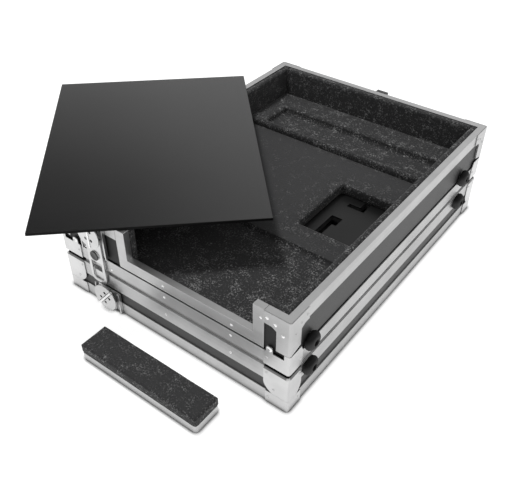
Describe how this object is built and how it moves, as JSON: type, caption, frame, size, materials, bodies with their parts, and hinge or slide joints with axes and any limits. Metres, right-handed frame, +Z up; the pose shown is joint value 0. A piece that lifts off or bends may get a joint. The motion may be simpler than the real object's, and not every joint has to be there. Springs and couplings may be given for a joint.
{
  "type": "dj controller flight case",
  "caption": "Low flight case for a DJ controller, open: foam-lined tray standing on its lid, loose cover board across the rim, loose foam-backed front panel.",
  "frame": {"origin": "flat underside of the lid's rim extrusion, which the case stands on, half way along the front wall", "axes": "+X to the right along the front wall, +Y from the front wall to the back wall, +Z up"},
  "size_m": [0.649, 0.6377, 0.1605],
  "materials": {
    "aluminium": "satin extrusion",
    "steel": "bright zinc plated pressing",
    "laminate": "plywood with a black satin laminate",
    "foam": "dark charcoal cut foam with light specks",
    "rubber": "matte black",
    "black_metal": "black satin",
    "black_board": "satin black sheet"
  },
  "bodies": {
    "cover": {"cover_board": "black_board"},
    "tray": {"cutout_trim": "aluminium", "foam_floor": "foam", "foam_lining_back": "foam", "foam_lining_left": "foam", "foam_lining_right": "foam", "foam_rear_block": "foam", "handle_plate": "steel", "rear_catch": "black_metal", "tray_bottom_angle_frame": "aluminium", "tray_bottom_board": "laminate", "tray_bottom_corner_back_left": "steel", "tray_bottom_corner_back_right": "steel", "tray_bottom_corner_front_left": "steel", "tray_bottom_corner_front_right": "steel", "tray_foot_back": "rubber", "tray_foot_front": "rubber", "tray_latch_plate": "steel", "tray_rim_channel_frame": "aluminium", "tray_upright_corner_back_left": "aluminium", "tray_upright_corner_back_right": "aluminium", "tray_upright_corner_front_left": "aluminium", "tray_upright_corner_front_right": "aluminium", "tray_wall_back": "laminate", "tray_wall_front": "laminate", "tray_wall_left": "laminate", "tray_wall_right": "laminate", "window_plate": "black_board"},
    "front_panel": {"front_panel_board": "laminate", "front_panel_edge": "aluminium", "front_panel_foam": "foam"},
    "handle_bail": {"handle_bail": "black_metal"},
    "lid": {"lid_foam_pad": "foam", "lid_foot_back": "rubber", "lid_foot_front": "rubber", "lid_keeper": "steel", "lid_latch_plate": "steel", "lid_rim_channel_frame": "aluminium", "lid_rim_corner_back_left": "steel", "lid_rim_corner_back_right": "steel", "lid_rim_corner_front_left": "steel", "lid_rim_corner_front_right": "steel", "lid_roof_angle_frame": "aluminium", "lid_roof_board": "laminate", "lid_roof_corner_back_left": "steel", "lid_roof_corner_back_right": "steel", "lid_roof_corner_front_left": "steel", "lid_roof_corner_front_right": "steel", "lid_wall_back": "laminate", "lid_wall_front": "laminate", "lid_wall_left": "laminate", "lid_wall_right": "laminate"},
    "lid_latch_hook": {"lid_latch_hook": "steel"},
    "lid_latch_hub": {"lid_latch_hub": "steel"},
    "lid_latch_wing_a": {"lid_latch_wing_a": "steel"},
    "lid_latch_wing_b": {"lid_latch_wing_b": "steel"},
    "tray_latch_hook": {"tray_latch_hook": "steel"},
    "tray_latch_hub": {"tray_latch_hub": "steel"},
    "tray_latch_wing_a": {"tray_latch_wing_a": "steel"},
    "tray_latch_wing_b": {"tray_latch_wing_b": "steel"}
  },
  "joints": [
    {"name": "tray_lift", "type": "slide", "parent": "lid", "child": "tray", "axis": [0, 0, 1], "range_m": [0, 0.16]},
    {"name": "cover_lift", "type": "slide", "parent": "tray", "child": "cover", "axis": [0, 0, 1], "range_m": [0, 0.15]},
    {"name": "front_panel_lift", "type": "slide", "parent": "lid", "child": "front_panel", "axis": [0, 0, 1], "range_m": [0, 0.2]},
    {"name": "handle_swing", "type": "hinge", "parent": "tray", "child": "handle_bail", "pos_m": [-0.2028, 0.264, 0.1259], "axis": [0, 1, 0], "range_deg": [0, 95]},
    {"name": "tray_latch_turn", "type": "hinge", "parent": "tray", "child": "tray_latch_hub", "pos_m": [-0.126, -0.0094, 0.1304], "axis": [0, -1, 0], "range_deg": [0, 180]},
    {"name": "tray_latch_draw", "type": "slide", "parent": "tray", "child": "tray_latch_hook", "axis": [0, 0, 1], "range_m": [0, 0.004]},
    {"name": "tray_wing_a_fold", "type": "hinge", "parent": "tray_latch_hub", "child": "tray_latch_wing_a", "pos_m": [-0.126, -0.014, 0.1304], "axis": [0, 0, 1], "range_deg": [0, 70], "stiffness_Nm_per_rad": 0.01},
    {"name": "tray_wing_b_fold", "type": "hinge", "parent": "tray_latch_hub", "child": "tray_latch_wing_b", "pos_m": [-0.126, -0.014, 0.1304], "axis": [0, 0, -1], "range_deg": [0, 70], "stiffness_Nm_per_rad": 0.01},
    {"name": "lid_latch_turn", "type": "hinge", "parent": "lid", "child": "lid_latch_hub", "pos_m": [-0.114, -0.0094, 0.023], "axis": [0, -1, 0], "range_deg": [0, 180]},
    {"name": "lid_latch_draw", "type": "slide", "parent": "lid", "child": "lid_latch_hook", "axis": [0, 0, 1], "range_m": [0, 0.004]},
    {"name": "lid_wing_a_fold", "type": "hinge", "parent": "lid_latch_hub", "child": "lid_latch_wing_a", "pos_m": [-0.114, -0.014, 0.023], "axis": [0.6428, 0, 0.766], "range_deg": [0, 70], "stiffness_Nm_per_rad": 0.01},
    {"name": "lid_wing_b_fold", "type": "hinge", "parent": "lid_latch_hub", "child": "lid_latch_wing_b", "pos_m": [-0.114, -0.014, 0.023], "axis": [-0.6428, 0, -0.766], "range_deg": [0, 70], "stiffness_Nm_per_rad": 0.01}
  ],
  "couplings": [
    {"joint": "tray_latch_draw", "follows": "tray_latch_turn", "m_per_rad": 0.001273},
    {"joint": "lid_latch_draw", "follows": "lid_latch_turn", "m_per_rad": 0.001273}
  ]
}
